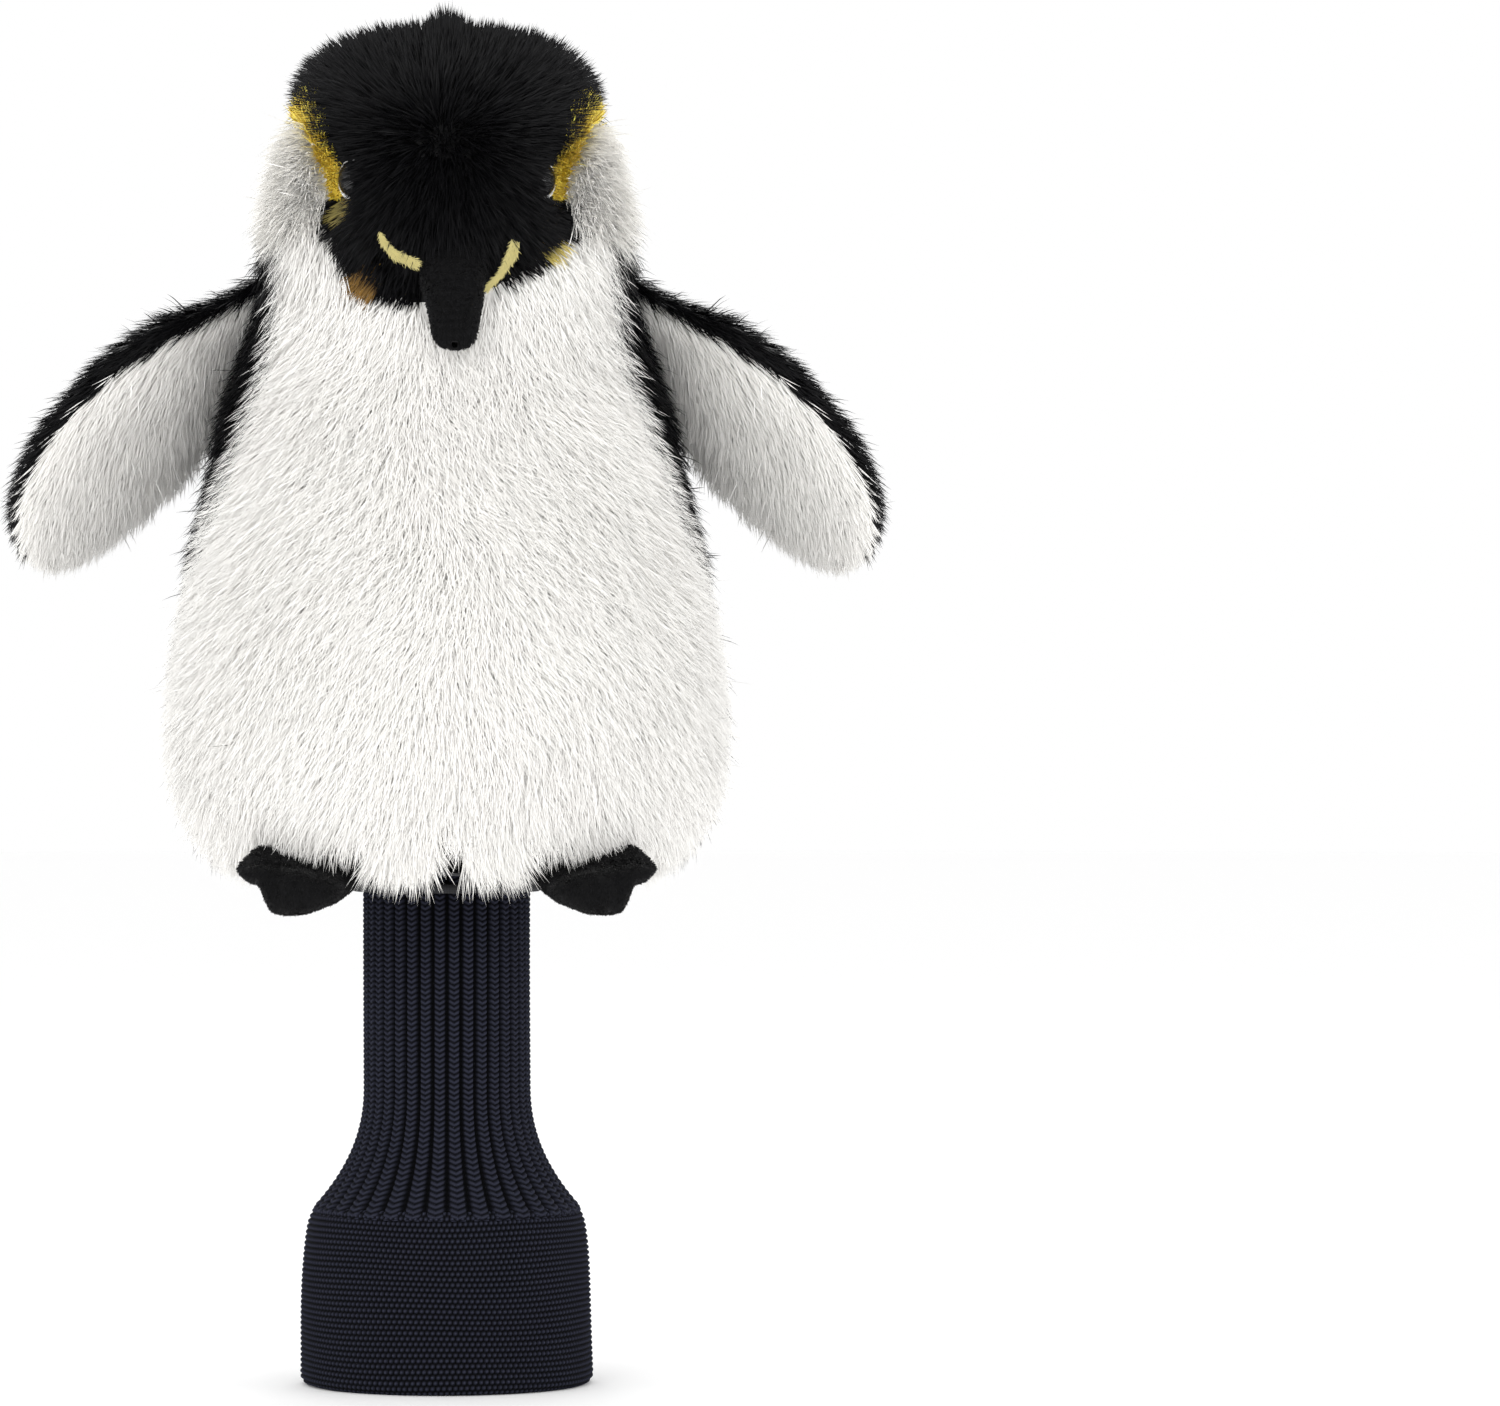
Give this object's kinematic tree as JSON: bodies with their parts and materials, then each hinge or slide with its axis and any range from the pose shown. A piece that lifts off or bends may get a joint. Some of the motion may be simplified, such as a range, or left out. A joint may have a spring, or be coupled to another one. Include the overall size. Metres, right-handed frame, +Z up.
{
  "type": "driver head cover",
  "caption": "Plush penguin head cover for a golf driver: fur body with a lined pouch for the club head, felted beak, flippers and feet, and a ribbed knit sock with a folded cuff.",
  "frame": {"origin": "centre of the pouch mouth, where the club's neck goes into the plush", "axes": "+Z up towards the crown, -Y the way the penguin faces, +X its own left side"},
  "size_m": [0.2714, 0.1737, 0.424],
  "materials": {
    "white_fur": "long pile fur, combed",
    "black_fur": "long pile fur, combed",
    "yellow_fur": "medium pile fur",
    "pale_yellow_pile": "short pile",
    "black_velour": "short velour",
    "stuffing": "polyester fibre",
    "eye_gloss": "polished",
    "eye_rim": "polished",
    "washer_plastic": "matte",
    "lining_cloth": "brushed",
    "backing_cloth": "woven",
    "rib_knit": "ribbed knit",
    "plain_knit": "stocking-stitch knit"
  },
  "bodies": {
    "plush": {"back_panel_left": "black_fur", "back_panel_right": "black_fur", "base_panel": "backing_cloth", "beak_lower": "black_velour", "beak_stuffing": "stuffing", "beak_upper": "black_velour", "belly_panel": "white_fur", "bill_stripe_left": "pale_yellow_pile", "bill_stripe_right": "pale_yellow_pile", "body_padding": "stuffing", "chin_band_left": "yellow_fur", "chin_band_right": "yellow_fur", "ear_band_left": "yellow_fur", "ear_band_right": "yellow_fur", "ear_patch_left": "white_fur", "ear_patch_right": "white_fur", "eye_left": "eye_gloss", "eye_right": "eye_gloss", "eye_rim_left": "eye_rim", "eye_rim_right": "eye_rim", "eye_washer_left": "washer_plastic", "eye_washer_right": "washer_plastic", "flipper_tab_left": "backing_cloth", "flipper_tab_right": "backing_cloth", "foot_tab_left": "backing_cloth", "foot_tab_right": "backing_cloth", "head_panel_left": "black_fur", "head_panel_right": "black_fur", "head_stuffing": "stuffing", "lining_pouch": "lining_cloth"},
    "flipper_left": {"flipper_outer_left": "black_fur", "flipper_inner_left": "white_fur", "flipper_stuffing_left": "stuffing"},
    "flipper_right": {"flipper_outer_right": "black_fur", "flipper_inner_right": "white_fur", "flipper_stuffing_right": "stuffing"},
    "foot_left": {"foot_upper_left": "black_velour", "foot_sole_left": "black_velour", "foot_stuffing_left": "stuffing"},
    "foot_right": {"foot_upper_right": "black_velour", "foot_sole_right": "black_velour", "foot_stuffing_right": "stuffing"},
    "neck_ring": {"neck_binding": "backing_cloth"},
    "sock": {"sock_tube": "rib_knit", "sock_flare": "rib_knit", "cuff_inner": "plain_knit", "cuff_outer": "plain_knit"}
  },
  "joints": [
    {"name": "flipper_left_flex", "type": "hinge", "parent": "plush", "child": "flipper_left", "pos_m": [0.06275, 0.0186, 0.1692], "axis": [0.1406, -0.9, 0.4125], "range_deg": [-6, 50], "stiffness_Nm_per_rad": 0.3},
    {"name": "flipper_right_flex", "type": "hinge", "parent": "plush", "child": "flipper_right", "pos_m": [-0.06275, 0.0186, 0.1692], "axis": [0.1406, 0.9, -0.4125], "range_deg": [-6, 50], "stiffness_Nm_per_rad": 0.3},
    {"name": "foot_left_flex", "type": "hinge", "parent": "plush", "child": "foot_left", "pos_m": [0.044, -0.0415, -0.004], "axis": [1, 0, 0], "range_deg": [-8, 25], "stiffness_Nm_per_rad": 0.12},
    {"name": "foot_right_flex", "type": "hinge", "parent": "plush", "child": "foot_right", "pos_m": [-0.044, -0.0415, -0.004], "axis": [1, 0, 0], "range_deg": [-8, 25], "stiffness_Nm_per_rad": 0.12},
    {"name": "sock_swing_fore_aft", "type": "hinge", "parent": "plush", "child": "neck_ring", "pos_m": [0, 0, -0.011], "axis": [1, 0, 0], "range_deg": [-18, 18]},
    {"name": "sock_swing_side", "type": "hinge", "parent": "neck_ring", "child": "sock", "pos_m": [0, 0, -0.011], "axis": [0, 1, 0], "range_deg": [-18, 18]}
  ]
}
